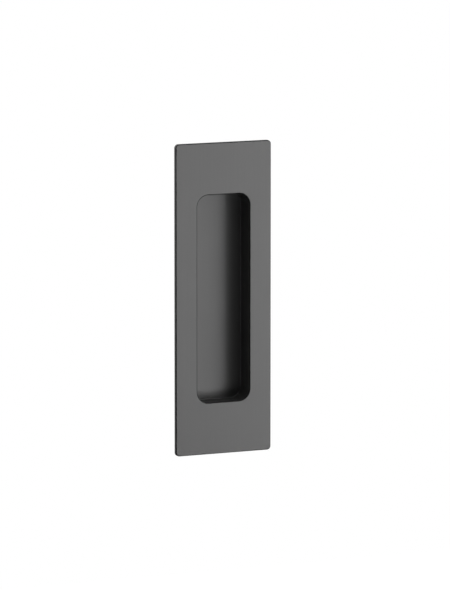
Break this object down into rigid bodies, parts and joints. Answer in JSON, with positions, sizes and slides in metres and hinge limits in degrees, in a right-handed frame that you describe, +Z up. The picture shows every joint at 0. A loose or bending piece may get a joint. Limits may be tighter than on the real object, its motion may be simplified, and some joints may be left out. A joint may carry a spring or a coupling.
{
  "type": "recessed pull handle",
  "caption": "Rectangular flush pull for a sliding door: a thin dark satin face plate with a straight-walled finger recess behind its round-cornered opening.",
  "frame": {"origin": "centre of the face plate's back, in the plane of the door's face", "axes": "+Y into the door, towards the back of the cup; -Y towards the user; +Z up along the plate's height; +X to the right as the user sees it"},
  "size_m": [0.04, 0.0095, 0.12],
  "materials": {
    "dark_satin_metal": "satin"
  },
  "bodies": {
    "root": {"pull_body": "dark_satin_metal"}
  },
  "joints": []
}
